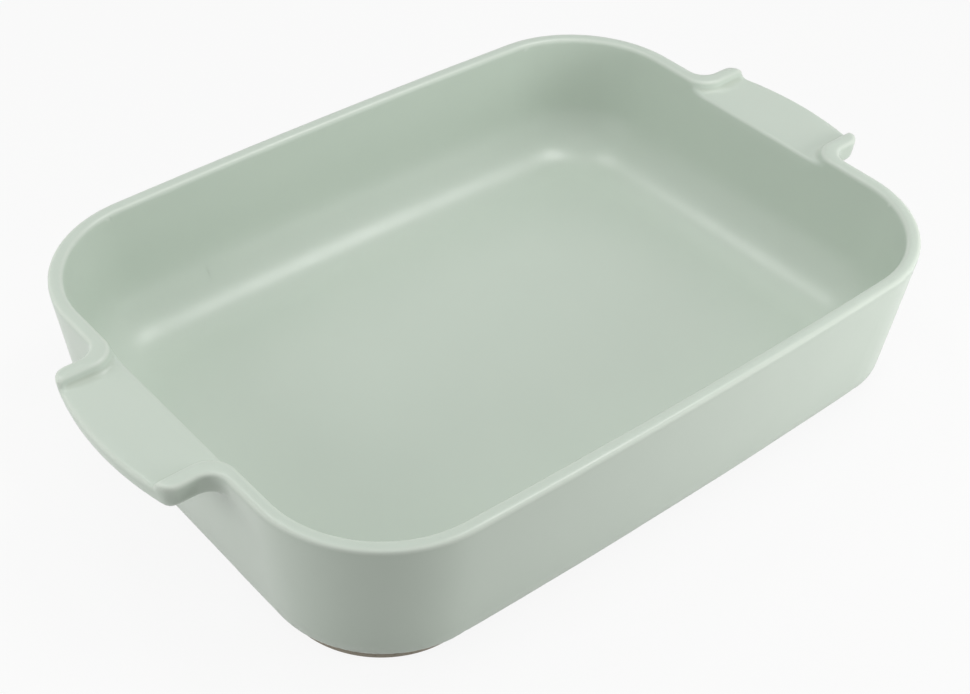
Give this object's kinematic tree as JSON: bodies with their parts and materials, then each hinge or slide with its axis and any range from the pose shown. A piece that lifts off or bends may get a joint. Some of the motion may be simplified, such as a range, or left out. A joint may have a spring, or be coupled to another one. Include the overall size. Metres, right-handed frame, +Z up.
{
  "type": "lasagna dish",
  "caption": "Deep oblong baking dish in glazed stoneware, with rounded corners, a flat rim and a sunk tab handle at each short side.",
  "frame": {"origin": "middle of the dish on the surface that its foot ring stands on", "axes": "+X along the dish from the left handle to the right handle, +Y across it, +Z up"},
  "size_m": [0.3988, 0.2606, 0.0696],
  "materials": {
    "glaze": "satin",
    "bare_clay": "matte"
  },
  "bodies": {
    "root": {"dish_body": "glaze", "left_handle": "glaze", "right_handle": "glaze", "foot_ring": "bare_clay"}
  },
  "joints": []
}
